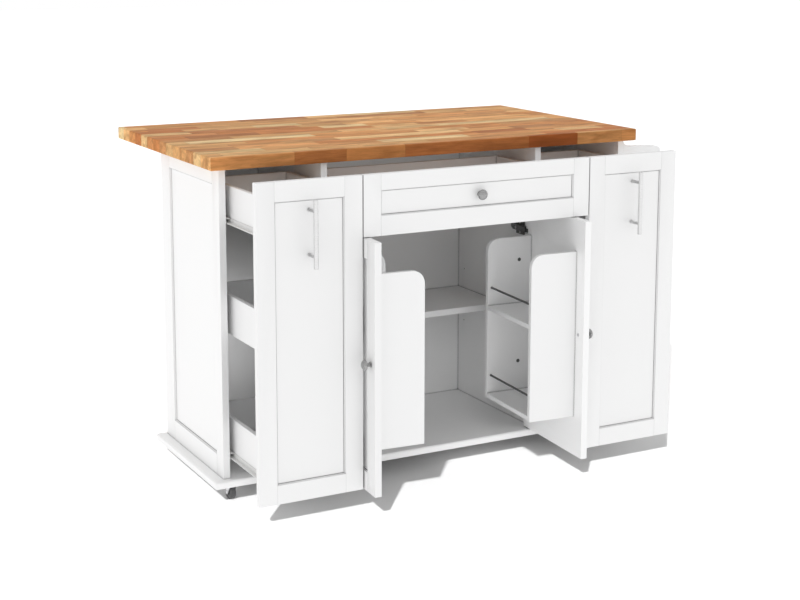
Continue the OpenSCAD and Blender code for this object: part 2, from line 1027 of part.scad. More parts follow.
// The fork trails towards +Y; its swivel axis is x = 0, y = 0
module fork_shape() {
    side = wheel_w / 2 + 1;
    leg_top = fork_top - disc_t;
    leg_half = 12;
    foot_half = 5;
    translate([0, 0, leg_top])
        cylinder(r = caster_plate / 2 - 4, h = disc_t);
    translate([0, 0, fork_top - cut])
        cylinder(r = stem_r, h = cut + swivel_gap + caster_plate_t - stem_short);
    for (x = [-side - fork_t, side])
        translate([x, 0, 0])
            rotate([90, 0, 90])
                linear_extrude(fork_t)
                    polygon([[-leg_half, leg_top], [leg_half, leg_top], [trail + 7, wheel_r + 2],
                        [trail + foot_half, wheel_r - 6], [trail - foot_half, wheel_r - 6],
                        [-leg_half / 2, leg_top - leg_half]]);
    translate([-side - fork_t - 1, trail, wheel_r])
        rotate([0, 90, 0])
            cylinder(r = axle_r, h = 2 * (side + fork_t + 1));
}

// A wheel with a raised hub and a raised, eased rim
module wheel_shape() {
    bore = axle_r + run_clear;
    hub = 8;
    sunk = 1.5;
    ease = 2;
    web = wheel_r - 6;
    rim = wheel_r - 5;
    translate([-wheel_w / 2, trail, wheel_r])
        rotate([0, 90, 0])
            rotate_extrude()
                polygon([[bore, 0], [hub, 0], [hub, sunk], [web, sunk], [rim, 0],
                    [wheel_r - ease, 0], [wheel_r, ease], [wheel_r, wheel_w - ease],
                    [wheel_r - ease, wheel_w], [rim, wheel_w], [web, wheel_w - sunk],
                    [hub, wheel_w - sunk], [hub, wheel_w], [bore, wheel_w]]);
}

module front_left_fork() {
    color("dimgray") place() translate([caster_x, caster_ys[0], 0]) fork_shape();
}

module front_left_wheel() {
    color("black") place() translate([caster_x, caster_ys[0], 0]) wheel_shape();
}

module front_right_fork() {
    color("dimgray") place() translate([top_w - caster_x, caster_ys[0], 0]) fork_shape();
}

module front_right_wheel() {
    color("black") place() translate([top_w - caster_x, caster_ys[0], 0]) wheel_shape();
}

module rear_left_fork() {
    color("dimgray") place() translate([caster_x, caster_ys[1], 0]) fork_shape();
}

module rear_left_wheel() {
    color("black") place() translate([caster_x, caster_ys[1], 0]) wheel_shape();
}

module rear_right_fork() {
    color("dimgray") place() translate([top_w - caster_x, caster_ys[1], 0]) fork_shape();
}

module rear_right_wheel() {
    color("black") place() translate([top_w - caster_x, caster_ys[1], 0]) wheel_shape();
}

base_board();
left_side_panel();
right_side_panel();
left_divider();
right_divider();
back_panel();
top_rails();
shelf();
shelf_pins();
fixed_runners();
door_hinge_arms();
door_hinge_pins();
worktop();
leaf_hinge_fixed_flaps();
leaf_hinge_pins();
bracket_hinge_fixed_flaps();
bracket_hinge_pins();
end_rack_sides();
end_rack_shelf();
end_rack_rail();
caster_plates();
drop_leaf();
leaf_hinge_moving_flaps();
left_bracket();
right_bracket();
left_pullout_front();
left_pullout_handle();
left_pullout_trays();
left_pullout_runners();
right_pullout_front();
right_pullout_handle();
right_pullout_trays();
right_pullout_runners();
drawer_front();
drawer_knob();
drawer_box();
drawer_bottom();
drawer_runners();
left_door();
left_door_knob();
left_rack_sides();
left_rack_shelves();
left_rack_rods();
right_door();
right_door_knob();
right_rack_sides();
right_rack_shelves();
right_rack_rods();
front_left_fork();
front_left_wheel();
front_right_fork();
front_right_wheel();
rear_left_fork();
rear_left_wheel();
rear_right_fork();
rear_right_wheel();
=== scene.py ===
"""Looks of the drop leaf kitchen island: finishes, eased edges, small fasteners, floor and light."""

import json
import math

import bmesh
import bpy
from mathutils import Matrix, Vector


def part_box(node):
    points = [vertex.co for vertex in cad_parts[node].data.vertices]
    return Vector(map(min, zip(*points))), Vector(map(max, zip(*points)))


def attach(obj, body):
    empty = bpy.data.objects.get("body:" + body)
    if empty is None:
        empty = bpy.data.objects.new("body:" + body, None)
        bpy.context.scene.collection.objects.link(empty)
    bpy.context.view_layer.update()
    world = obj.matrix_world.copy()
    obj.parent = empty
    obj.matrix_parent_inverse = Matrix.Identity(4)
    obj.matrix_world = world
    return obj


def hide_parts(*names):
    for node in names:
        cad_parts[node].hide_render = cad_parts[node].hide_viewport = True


MM = 0.001
BLOCK_WIDTH = 52 * MM
BLOCK_LENGTH = 235 * MM
# Painted shade in inner corners and grooves: how far it reaches, and its darkest factor inside the cabinet and on
# the framed boards.
PAINTED_SHADE_REACH = 6 * MM
PAINTED_SHADE_INSIDE = 0.42
PAINTED_SHADE_FRAMED = 0.72
WHITE_PAINT = (0.90, 0.90, 0.90, 1)
DARK_GLUE = (0.22, 0.08, 0.03, 1)

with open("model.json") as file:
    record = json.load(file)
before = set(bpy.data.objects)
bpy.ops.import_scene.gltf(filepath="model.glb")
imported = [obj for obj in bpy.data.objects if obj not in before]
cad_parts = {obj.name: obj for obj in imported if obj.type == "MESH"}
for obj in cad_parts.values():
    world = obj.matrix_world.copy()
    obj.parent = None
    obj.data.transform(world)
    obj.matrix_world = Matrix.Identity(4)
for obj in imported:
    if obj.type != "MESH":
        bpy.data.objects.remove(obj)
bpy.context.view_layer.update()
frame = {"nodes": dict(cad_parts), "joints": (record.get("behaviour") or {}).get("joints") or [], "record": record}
NODES = frame["nodes"]
BODY_OF = {
    node: body
    for body, members in frame["record"]["behaviour"]["bodies"].items()
    for node in members
}
SLOT_OF = {part["node"]: part["material_slot"] for part in frame["record"]["subparts"]}
JOINTS = {joint["name"]: joint for joint in frame["joints"]}


# ---------------------------------------------------------------- shader helpers

def new_material(name, roughness=0.5, metallic=0.0):
    """A node material with a Principled shader; returns it with its tree and shader."""
    made = bpy.data.materials.new(name)
    made.use_nodes = True
    tree = made.node_tree
    shader = tree.nodes["Principled BSDF"]
    shader.inputs["Roughness"].default_value = roughness
    shader.inputs["Metallic"].default_value = metallic
    return made, tree, shader


def new_group(name, inputs, outputs):
    """A shader node group with named sockets; returns its tree, input node and output node."""
    tree = bpy.data.node_groups.new(name, "ShaderNodeTree")
    for label, kind, value in inputs:
        socket = tree.interface.new_socket(label, in_out="INPUT", socket_type=kind)
        if value is not None:
            socket.default_value = value
    for label, kind in outputs:
        tree.interface.new_socket(label, in_out="OUTPUT", socket_type=kind)
    return tree, tree.nodes.new("NodeGroupInput"), tree.nodes.new("NodeGroupOutput")


def feed(tree, value, socket):
    """Puts a number, a colour, a vector or another node's socket into a socket."""
    if isinstance(value, bpy.types.NodeSocket):
        tree.links.new(value, socket)
    else:
        socket.default_value = value


def calculate(tree, operation, first, second=0.0, third=0.0):
    """A Math node; returns its result."""
    node = tree.nodes.new("ShaderNodeMath")
    node.operation = operation
    for socket, value in zip(node.inputs, (first, second, third)):
        feed(tree, value, socket)
    return node.outputs[0]


def blend_colour(tree, amount, first, second, mode="MIX"):
    """A Mix node on colours; returns its result."""
    node = tree.nodes.new("ShaderNodeMix")
    node.data_type = "RGBA"
    node.blend_type = mode
    feed(tree, amount, node.inputs["Factor"])
    feed(tree, first, node.inputs[6])
    feed(tree, second, node.inputs[7])
    return node.outputs[2]


def stretch(tree, vector, scale, location=(0, 0, 0)):
    """A Mapping node; returns the scaled and moved coordinates."""
    node = tree.nodes.new("ShaderNodeMapping")
    feed(tree, vector, node.inputs["Vector"])
    node.inputs["Scale"].default_value = scale
    node.inputs["Location"].default_value = location
    return node.outputs[0]


def noise(tree, vector, scale, detail=3.0, roughness=0.5, distortion=0.0):
    """A Noise texture; returns its value."""
    node = tree.nodes.new("ShaderNodeTexNoise")
    feed(tree, vector, node.inputs["Vector"])
    node.inputs["Scale"].default_value = scale
    node.inputs["Detail"].default_value = detail
    node.inputs["Roughness"].default_value = roughness
    node.inputs["Distortion"].default_value = distortion
    return node.outputs[0]


def spread(tree, value, low, high, to_low, to_high):
    """A Map Range node; returns its result."""
    node = tree.nodes.new("ShaderNodeMapRange")
    feed(tree, value, node.inputs["Value"])
    for label, number in (("From Min", low), ("From Max", high), ("To Min", to_low),
                          ("To Max", to_high)):
        feed(tree, number, node.inputs[label])
    return node.outputs[0]


def place_group(tree, group, **values):
    """Puts a group into a material and sets its named inputs."""
    node = tree.nodes.new("ShaderNodeGroup")
    node.node_tree = group
    for label, value in values.items():
        feed(tree, value, node.inputs[label.replace("_", " ")])
    return node


def object_coordinates(tree):
    return tree.nodes.new("ShaderNodeTexCoord").outputs["Object"]


def add_bump(tree, shader, height, strength, distance):
    """A Bump node on the shader's normal."""
    node = tree.nodes.new("ShaderNodeBump")
    node.inputs["Strength"].default_value = strength
    node.inputs["Distance"].default_value = distance
    tree.links.new(height, node.inputs["Height"])
    tree.links.new(node.outputs["Normal"], shader.inputs["Normal"])


# ---------------------------------------------------------------- shared effects

def build_surface_group():
    """Faint unevenness of a finish: a tone that drifts, and fine grain for gloss and bump."""
    tree, start, end = new_group(
        "uneven_finish",
        [("Vector", "NodeSocketVector", None), ("Drift", "NodeSocketFloat", 3.0),
         ("Fine", "NodeSocketFloat", 400.0), ("Depth", "NodeSocketFloat", 0.03)],
        [("Tone", "NodeSocketFloat"), ("Grain", "NodeSocketFloat")])
    vector = start.outputs["Vector"]
    drift = tree.nodes.new("ShaderNodeTexNoise")
    tree.links.new(vector, drift.inputs["Vector"])
    tree.links.new(start.outputs["Drift"], drift.inputs["Scale"])
    fine = tree.nodes.new("ShaderNodeTexNoise")
    fine.inputs["Detail"].default_value = 4.0
    tree.links.new(vector, fine.inputs["Vector"])
    tree.links.new(start.outputs["Fine"], fine.inputs["Scale"])
    centred = calculate(tree, "SUBTRACT", drift.outputs[0], 0.5)
    tone = calculate(tree, "MULTIPLY_ADD", centred, start.outputs["Depth"], 1.0)
    tree.links.new(tone, end.inputs["Tone"])
    tree.links.new(fine.outputs[0], end.inputs["Grain"])
    return tree


def build_stave_group():
    """Finger-jointed blocks in rows along X: each one's tone and hue, glue lines and figure."""
    tree, start, end = new_group(
        "glued_blocks",
        [("Vector", "NodeSocketVector", None), ("Width", "NodeSocketFloat", 0.04),
         ("Length", "NodeSocketFloat", 0.2)],
        [("Block", "NodeSocketFloat"), ("Joint", "NodeSocketFloat"),
         ("Figure", "NodeSocketFloat"), ("Heart", "NodeSocketFloat"),
         ("Pores", "NodeSocketFloat"), ("Hue", "NodeSocketFloat")])
    split = tree.nodes.new("ShaderNodeSeparateXYZ")
    tree.links.new(start.outputs["Vector"], split.inputs[0])
    across = calculate(tree, "DIVIDE", split.outputs["Y"], start.outputs["Width"])
    row = calculate(tree, "FLOOR", across)
    shift = tree.nodes.new("ShaderNodeTexWhiteNoise")
    shift.noise_dimensions = "1D"
    tree.links.new(row, shift.inputs["W"])
    along = calculate(tree, "DIVIDE", split.outputs["X"], start.outputs["Length"])
    along = calculate(tree, "MULTIPLY_ADD", shift.outputs["Value"], 17.0, along)
    slow = calculate(tree, "SINE", calculate(tree, "MULTIPLY_ADD", row, 1.7, calculate(
        tree, "MULTIPLY", along, 1.9)))
    along = calculate(tree, "MULTIPLY_ADD", slow, 0.34, along)
    block = calculate(tree, "FLOOR", along)
    joined = tree.nodes.new("ShaderNodeCombineXYZ")
    tree.links.new(row, joined.inputs["X"])
    tree.links.new(block, joined.inputs["Y"])
    chance = tree.nodes.new("ShaderNodeTexWhiteNoise")
    chance.noise_dimensions = "2D"
    tree.links.new(joined.outputs[0], chance.inputs["Vector"])
    tree.links.new(chance.outputs["Value"], end.inputs["Block"])
    parts = tree.nodes.new("ShaderNodeSeparateColor")
    tree.links.new(chance.outputs["Color"], parts.inputs[0])
    tree.links.new(parts.outputs["Green"], end.inputs["Hue"])

    side_gap = calculate(tree, "PINGPONG", across, 0.5)
    end_gap = calculate(tree, "PINGPONG", along, 0.5)
    side_line = spread(tree, side_gap, 0.0, 0.016, 1.0, 0.0)
    end_line = spread(tree, end_gap, 0.0, 0.005, 1.0, 0.0)
    tree.links.new(calculate(tree, "MAXIMUM", side_line, end_line), end.inputs["Joint"])

    own = tree.nodes.new("ShaderNodeVectorMath")
    own.operation = "MULTIPLY_ADD"
    tree.links.new(chance.outputs["Color"], own.inputs[0])
    own.inputs[1].default_value = (3.0, 5.0, 4.0)
    tree.links.new(start.outputs["Vector"], own.inputs[2])
    figure = noise(tree, stretch(tree, own.outputs[0], (7.0, 52.0, 52.0)), 1.0, 3.0, 0.55, 0.9)
    fibre = noise(tree, stretch(tree, own.outputs[0], (16.0, 420.0, 420.0)), 1.0, 2.0, 0.6)
    tree.links.new(calculate(tree, "MULTIPLY_ADD", fibre, 0.3, calculate(
        tree, "MULTIPLY", figure, 0.7)), end.inputs["Figure"])
    heart = noise(tree, stretch(tree, own.outputs[0], (6.0, 26.0, 26.0)), 1.0, 2.0, 0.5, 0.6)
    tree.links.new(spread(tree, heart, 0.52, 0.68, 0.0, 1.0), end.inputs["Heart"])
    pores = noise(tree, stretch(tree, own.outputs[0], (70.0, 1500.0, 1500.0)), 1.0, 1.0)
    tree.links.new(spread(tree, pores, 0.62, 0.74, 0.0, 1.0), end.inputs["Pores"])
    return tree


def build_painted_shade_group():
    """Painted shade in inner corners and narrow grooves, from ambient occlusion, as a factor that is 1 on open
    surfaces.
    """
    tree, start, end = new_group(
        "crevice_shade", [("Darkest", "NodeSocketFloat", 0.5)], [("Shade", "NodeSocketFloat")])
    corner = tree.nodes.new("ShaderNodeAmbientOcclusion")
    corner.samples = 8
    corner.inputs["Distance"].default_value = PAINTED_SHADE_REACH
    tree.links.new(spread(tree, corner.outputs["AO"], 0.35, 0.9, start.outputs["Darkest"], 1.0),
                   end.inputs["Shade"])
    return tree


UNEVEN = build_surface_group()
PAINTED_CREVICE_SHADE = build_painted_shade_group()
BLOCKS = build_stave_group()


# ---------------------------------------------------------------- materials

def painted_board(name, colour, painted_shade_darkest, roughness=0.42):
    """Satin paint on board, with the faint texture a roller leaves and painted shade in inner corners and grooves.
    """
    made, tree, shader = new_material(name, roughness)
    finish = place_group(tree, UNEVEN, Vector=object_coordinates(tree), Drift=2.2, Fine=900.0,
                         Depth=0.02)
    corner_shade = place_group(tree, PAINTED_CREVICE_SHADE, Darkest=painted_shade_darkest)
    # painted shade: the paint's tone is darkened in inner corners and grooves
    tone = calculate(tree, "MULTIPLY", finish.outputs["Tone"], corner_shade.outputs["Shade"])
    tree.links.new(blend_colour(tree, 1.0, colour, tone, "MULTIPLY"),
                   shader.inputs["Base Color"])
    tree.links.new(spread(tree, finish.outputs["Grain"], 0.3, 0.7, roughness - 0.04,
                          roughness + 0.05), shader.inputs["Roughness"])
    add_bump(tree, shader, finish.outputs["Grain"], 0.08, 0.0003)
    return made


def painted_edge_shade(tree):
    """Painted shade on the slab's long front and back edges, darker and redder; the other faces keep white."""
    facing = tree.nodes.new("ShaderNodeSeparateXYZ")
    tree.links.new(tree.nodes.new("ShaderNodeTexCoord").outputs["Normal"], facing.inputs[0])
    long_edge_shade = calculate(tree, "ABSOLUTE", facing.outputs["Y"])
    return blend_colour(tree, long_edge_shade, (1, 1, 1, 1), (0.72, 0.58, 0.50, 1))


def butcher_block(name):
    """Oiled blocks of light and dark wood, finger-jointed into one slab."""
    made, tree, shader = new_material(name, 0.5)
    shader.inputs["Specular IOR Level"].default_value = 0.02
    blocks = place_group(tree, BLOCKS, Vector=object_coordinates(tree), Width=BLOCK_WIDTH,
                         Length=BLOCK_LENGTH)
    ramp = tree.nodes.new("ShaderNodeValToRGB")
    tones = [(0.0, (0.480, 0.175, 0.060, 1)), (0.16, (0.600, 0.252, 0.092, 1)),
             (0.45, (0.735, 0.362, 0.136, 1)), (0.75, (0.850, 0.490, 0.205, 1)),
             (1.0, (0.960, 0.665, 0.330, 1))]
    while len(ramp.color_ramp.elements) < len(tones):
        ramp.color_ramp.elements.new(0.5)
    for element, (place, colour) in zip(ramp.color_ramp.elements, tones):
        element.position = place
        element.color = colour
    tree.links.new(blocks.outputs["Block"], ramp.inputs["Fac"])
    hue = blend_colour(tree, blocks.outputs["Hue"], (1.03, 0.87, 0.75, 1), (0.97, 1.10, 1.20, 1))
    golden = blend_colour(tree, 1.0, ramp.outputs["Color"], hue, "MULTIPLY")
    figure = spread(tree, blocks.outputs["Figure"], 0.32, 0.68, 0.68, 1.26)
    colour = blend_colour(tree, 1.0, golden, figure, "MULTIPLY")
    colour = blend_colour(tree, calculate(tree, "MULTIPLY", blocks.outputs["Heart"], 0.5),
                          colour, (0.36, 0.135, 0.045, 1))
    colour = blend_colour(tree, calculate(tree, "MULTIPLY", blocks.outputs["Pores"], 0.35),
                          colour, DARK_GLUE)
    colour = blend_colour(tree, calculate(tree, "MULTIPLY", blocks.outputs["Joint"], 0.30),
                          colour, DARK_GLUE)
    # painted shade: the long front and back edges are darkened by the direction they face
    colour = blend_colour(tree, 1.0, colour, painted_edge_shade(tree), "MULTIPLY")
    tree.links.new(colour, shader.inputs["Base Color"])
    tree.links.new(spread(tree, blocks.outputs["Figure"], 0.3, 0.7, 0.56, 0.44),
                   shader.inputs["Roughness"])
    height = calculate(tree, "SUBTRACT", blocks.outputs["Figure"], blocks.outputs["Pores"])
    height = calculate(tree, "SUBTRACT", height, blocks.outputs["Joint"])
    add_bump(tree, shader, height, 0.12, 0.0004)
    return made


def brushed_metal(name, colour, roughness, direction=(1.0, 1.0, 40.0)):
    """Metal with fine brush lines; direction holds the stretch of the lines on each axis."""
    made, tree, shader = new_material(name, roughness, 1.0)
    vector = stretch(tree, object_coordinates(tree), direction)
    lines = noise(tree, vector, 60.0, 3.0, 0.6)
    tree.links.new(spread(tree, lines, 0.3, 0.7, roughness - 0.08, roughness + 0.1),
                   shader.inputs["Roughness"])
    finish = place_group(tree, UNEVEN, Vector=object_coordinates(tree), Drift=30.0, Fine=500.0,
                         Depth=0.12)
    tree.links.new(blend_colour(tree, 1.0, colour, finish.outputs["Tone"], "MULTIPLY"),
                   shader.inputs["Base Color"])
    add_bump(tree, shader, lines, 0.05, 0.0002)
    return made


def coated_metal(name, colour, roughness):
    """Powder-coated steel with a fine orange peel."""
    made, tree, shader = new_material(name, roughness)
    finish = place_group(tree, UNEVEN, Vector=object_coordinates(tree), Drift=12.0, Fine=650.0,
                         Depth=0.10)
    tree.links.new(blend_colour(tree, 1.0, colour, finish.outputs["Tone"], "MULTIPLY"),
                   shader.inputs["Base Color"])
    tree.links.new(spread(tree, finish.outputs["Grain"], 0.3, 0.7, roughness - 0.06,
                          roughness + 0.06), shader.inputs["Roughness"])
    add_bump(tree, shader, finish.outputs["Grain"], 0.15, 0.0002)
    return made


def worn_rubber(name, colour):
    """Dark rubber, dusty where it has rolled."""
    made, tree, shader = new_material(name, 0.7)
    finish = place_group(tree, UNEVEN, Vector=object_coordinates(tree), Drift=40.0, Fine=900.0,
                         Depth=0.5)
    dust = spread(tree, finish.outputs["Grain"], 0.45, 0.75, 0.0, 0.35)
    tree.links.new(blend_colour(tree, dust, colour, (0.22, 0.21, 0.20, 1)),
                   shader.inputs["Base Color"])
    add_bump(tree, shader, finish.outputs["Grain"], 0.2, 0.0003)
    return made


MATERIALS = {
    "white_boards": painted_board("white_paint", WHITE_PAINT, PAINTED_SHADE_INSIDE),
    "butcher_block": butcher_block("butcher_block_oak"),
    "brushed_nickel": brushed_metal("nickel_brushed", (0.68, 0.68, 0.68, 1), 0.30),
    "zinc_steel": brushed_metal("zinc_plate", (0.62, 0.62, 0.64, 1), 0.36, (1.0, 1.0, 1.0)),
    "runner_steel": coated_metal("runner_coat", (0.78, 0.78, 0.77, 1), 0.4),
    "dark_steel": coated_metal("dark_coat", (0.09, 0.09, 0.09, 1), 0.38),
    "caster_steel": brushed_metal("caster_zinc", (0.58, 0.58, 0.59, 1), 0.3, (1.0, 1.0, 1.0)),
    "caster_wheel": worn_rubber("wheel_rubber", (0.09, 0.09, 0.092, 1)),
}

FRAMED = ("left_side_panel", "right_side_panel", "left_pullout_front", "right_pullout_front",
          "drawer_front")
KNOBS = ("drawer_knob", "left_door_knob", "right_door_knob")
# The framed boards get their own copy of the white paint, with lighter painted shade in their corners and grooves.
OWN_MATERIALS = {
    **dict.fromkeys(FRAMED, painted_board("white_paint_framed_lighter_shade", WHITE_PAINT, PAINTED_SHADE_FRAMED)),
    **dict.fromkeys(KNOBS, brushed_metal("nickel_knob", (0.33, 0.33, 0.33, 1), 0.22)),
}


def material_of(node):
    """A node's own material if it has one, or else the one of its slot."""
    return OWN_MATERIALS.get(node, MATERIALS[SLOT_OF[node]])


for node, piece in NODES.items():
    piece.data.materials.clear()
    piece.data.materials.append(material_of(node))


# ---------------------------------------------------------------- pieces

def finish_piece(mesh, name, body, slot, smooth_angle=35, material=None):
    """Turns a bmesh into a piece that rides on a body, in its slot's material or its own one."""
    bmesh.ops.recalc_face_normals(mesh, faces=mesh.faces)
    data = bpy.data.meshes.new(name)
    mesh.to_mesh(data)
    mesh.free()
    piece = bpy.data.objects.new(name, data)
    bpy.context.scene.collection.objects.link(piece)
    data.materials.append(material or MATERIALS[slot])
    data.shade_smooth()
    data.set_sharp_from_angle(angle=math.radians(smooth_angle))
    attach(piece, body)
    return piece


def eased_copy(node, width, segments=2):
    """A copy of a board with its sharp edges eased, which stands for the plain one."""
    mesh = bmesh.new()
    mesh.from_mesh(NODES[node].data)
    bmesh.ops.remove_doubles(mesh, verts=mesh.verts, dist=0.01 * MM)
    bmesh.ops.dissolve_limit(mesh, angle_limit=math.radians(1), verts=mesh.verts,
                             edges=mesh.edges, use_dissolve_boundaries=False,
                             delimit={"NORMAL"})
    sharp = [e for e in mesh.edges
             if len(e.link_faces) == 2 and e.is_convex
             and e.calc_face_angle(0) > math.radians(50)]
    bmesh.ops.bevel(mesh, geom=sharp, offset=width, offset_type="OFFSET", segments=segments,
                    profile=0.5, affect="EDGES", clamp_overlap=True, material=-1)
    piece = finish_piece(mesh, node + "_eased", BODY_OF[node], SLOT_OF[node], 20,
                         material_of(node))
    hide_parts(node)
    return piece


EASED = {
    1.6 * MM: ("left_rack_sides", "right_rack_sides", "end_rack_sides"),
    1.0 * MM: ("left_side_panel", "right_side_panel", "left_pullout_front",
               "right_pullout_front", "drawer_front", "left_door", "right_door",
               "left_bracket", "right_bracket", "left_pullout_handle", "right_pullout_handle"),
    0.8 * MM: ("left_divider", "right_divider", "shelf", "left_rack_shelves",
               "right_rack_shelves", "left_pullout_trays", "right_pullout_trays", "drawer_box",
               "end_rack_shelf", "end_rack_rail"),
}
for ease, boards in EASED.items():
    for board in boards:
        eased_copy(board, ease)


# ---------------------------------------------------------------- screws, nuts and hinge wings

BOARD = 18 * MM
FLAP = 1.5 * MM
HINGE_PLATE = 40 * MM
HINGE_PLATE_T = 3.5 * MM
HINGE_BODY_W = 16 * MM
HINGE_IN = 4.5 * MM
LEAF_HINGE_W = 60 * MM
RACK_FROM_HINGE = 20 * MM
RACK_BOARD = 12 * MM
RACK_SCREW_BACK = 57 * MM
RACK_SCREW_LOW = 98 * MM
RACK_SCREW_HIGH = 65 * MM
HINGE_SCREW_SHARE = 0.35
FLAP_SCREW_SHARE = 0.32
FLAP_SCREW_OUT = 16 * MM
CASTER_SCREW_SHARE = 0.4
FORK_LEG = 3 * MM
BACK_ROWS = (0.06, 0.28, 0.5, 0.72, 0.94)
BACK_COLUMNS = (0.06, 0.35, 0.5, 0.65, 0.94)
BACK_EDGE = 0.04
CASTER_PLATE = 44 * MM
WING_LENGTH = 30 * MM
WING_HALF = 9 * MM
WING_CUT = 5 * MM
WING_THICKNESS = 3 * MM


def grow_face(mesh, face, base, lift, scale=1.0):
    """Extrudes a face along the base's own Z and scales it round the base's axis."""
    made = bmesh.ops.extrude_face_region(mesh, geom=[face])["geom"]
    verts = [item for item in made if isinstance(item, bmesh.types.BMVert)]
    bmesh.ops.scale(mesh, verts=verts, vec=(scale, scale, 1), space=base.inverted())
    bmesh.ops.translate(mesh, verts=verts, vec=base.to_3x3() @ Vector((0, 0, lift)))
    return next(item for item in made if isinstance(item, bmesh.types.BMFace))


def sink_cross(mesh, face, base, reach, half, depth):
    """Turns a round face of 16 corners into a cross and sinks it."""
    face = grow_face(mesh, face, base, 0.0)
    back = base.inverted()
    for vert in face.verts:
        spot = back @ vert.co
        step = round(math.degrees(math.atan2(spot.y, spot.x)) / 22.5) + 1
        quarter, part = divmod(step, 4)
        corner = (half, half) if part == 3 else (reach, (part - 1) * half)
        turned = Matrix.Rotation(math.radians(90 * quarter), 4, "Z") @ Vector((*corner, spot.z))
        vert.co = base @ turned
    grow_face(mesh, face, base, -depth, 0.8)


def add_screw(mesh, spot, facing, radius=3.4 * MM, rise=1.1 * MM):
    """A low domed head with a cross in it, on a surface at spot that looks along facing."""
    base = Matrix.Translation(spot) @ Vector(facing).to_track_quat("Z", "Y").to_matrix().to_4x4()
    ring = bmesh.ops.create_circle(mesh, cap_ends=True, segments=16, radius=radius, matrix=base)
    face = ring["verts"][0].link_faces[0]
    for share, scale in ((0.35, 1.0), (0.35, 0.9), (0.2, 0.85), (0.1, 0.8)):
        face = grow_face(mesh, face, base, share * rise, scale)
    sink_cross(mesh, face, base, 0.5 * radius, 0.12 * radius, 0.6 * rise)


def add_nut(mesh, spot, facing, radius=5 * MM, rise=1.2 * MM):
    """A six-sided nut on a surface at spot that looks along facing."""
    base = Matrix.Translation(spot) @ Vector(facing).to_track_quat("Z", "Y").to_matrix().to_4x4()
    ring = bmesh.ops.create_circle(mesh, cap_ends=True, segments=6, radius=radius, matrix=base)
    face = ring["verts"][0].link_faces[0]
    face = grow_face(mesh, face, base, 0.75 * rise)
    grow_face(mesh, face, base, 0.25 * rise, 0.88)


def door_place(side):
    """The place of an open door: X from its hinge edge, Y from its outer face, Z from the floor."""
    swing = JOINTS[side + "_door_swing"]
    axis = Vector(swing["pos_m"])
    axis.z = 0.0
    place = Matrix.Translation(axis)
    if side == "right":
        place = place @ Matrix.Scale(-1, 4, (1, 0, 0))
    turned = Matrix.Rotation(math.radians(swing["range_deg"][0]), 4, "Z")
    return place @ turned @ Matrix.Translation((-HINGE_IN, -HINGE_IN, 0))


def door_hinge_screws():
    """Two screws in each hinge plate and one in each hinge body."""
    low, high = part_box("door_hinge_arms")
    mesh = bmesh.new()
    for x, inward in ((low[0], 1), (high[0], -1)):
        for z in (low[2] + HINGE_PLATE / 2, high[2] - HINGE_PLATE / 2):
            for rise in (-HINGE_SCREW_SHARE, HINGE_SCREW_SHARE):
                add_screw(mesh, (x + inward * HINGE_PLATE_T, high[1] - HINGE_PLATE / 2,
                                 z + rise * HINGE_PLATE), (inward, 0, 0))
            add_screw(mesh, (x + inward * HINGE_BODY_W, high[1] - 0.4 * HINGE_PLATE, z),
                      (inward, 0, 0), 4.2 * MM)
    finish_piece(mesh, "door_hinge_screws", "cabinet", "zinc_steel")


def hinge_wings_and_shade():
    """Flat dark wings of the hinge plates, which reach further back along the dividers; their black is partly the
    plates and partly painted shade beside the hinges.
    """
    low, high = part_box("door_hinge_arms")
    near, far = high[1] - 1 * MM, high[1] + WING_LENGTH
    mesh = bmesh.new()
    for x, inward in ((low[0], 1), (high[0], -1)):
        for z in (low[2] + HINGE_PLATE / 2, high[2] - HINGE_PLATE / 2):
            outline = [(near, z - WING_HALF), (far - WING_CUT, z - WING_HALF),
                       (far, z - WING_HALF + WING_CUT), (far, z + WING_HALF - WING_CUT),
                       (far - WING_CUT, z + WING_HALF), (near, z + WING_HALF)]
            face = mesh.faces.new([mesh.verts.new((x, y, rise)) for y, rise in outline])
            made = bmesh.ops.extrude_face_region(mesh, geom=[face])["geom"]
            verts = [item for item in made if isinstance(item, bmesh.types.BMVert)]
            bmesh.ops.translate(mesh, verts=verts, vec=(inward * WING_THICKNESS, 0, 0))
            rim = [e for e in mesh.edges if e.verts[0] in verts and e.verts[1] in verts]
            bmesh.ops.bevel(mesh, geom=rim, offset=0.6 * MM, offset_type="OFFSET", segments=2,
                            profile=0.5, affect="EDGES", clamp_overlap=True, material=-1)
    finish_piece(mesh, "door_hinge_wings_and_shade", "cabinet", "dark_steel")


def door_screws(side):
    """Dark screws in the rack's boards, and the bolt of the knob on the door's inner face."""
    place = door_place(side)
    turn = place.to_3x3()
    body = side + "_door_body"
    knob_low, knob_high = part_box(side + "_door_knob")
    rack_low, rack_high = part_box(side + "_rack_sides")
    near = RACK_FROM_HINGE + RACK_BOARD
    mesh = bmesh.new()
    for z in (rack_low[2] + RACK_SCREW_LOW, rack_high[2] - RACK_SCREW_HIGH):
        add_screw(mesh, place @ Vector((near, RACK_SCREW_BACK, z)), turn @ Vector((1, 0, 0)), 5.2 * MM)
    finish_piece(mesh, side + "_rack_screws", body, "dark_steel")
    bolt = bmesh.new()
    centre = (Vector(knob_low) + Vector(knob_high)) / 2
    spot = place.inverted() @ centre
    spot.y = BOARD
    add_screw(bolt, place @ spot, turn @ Vector((0, 1, 0)), 4.5 * MM, 1.6 * MM)
    finish_piece(bolt, side + "_door_knob_bolt", body, "zinc_steel")


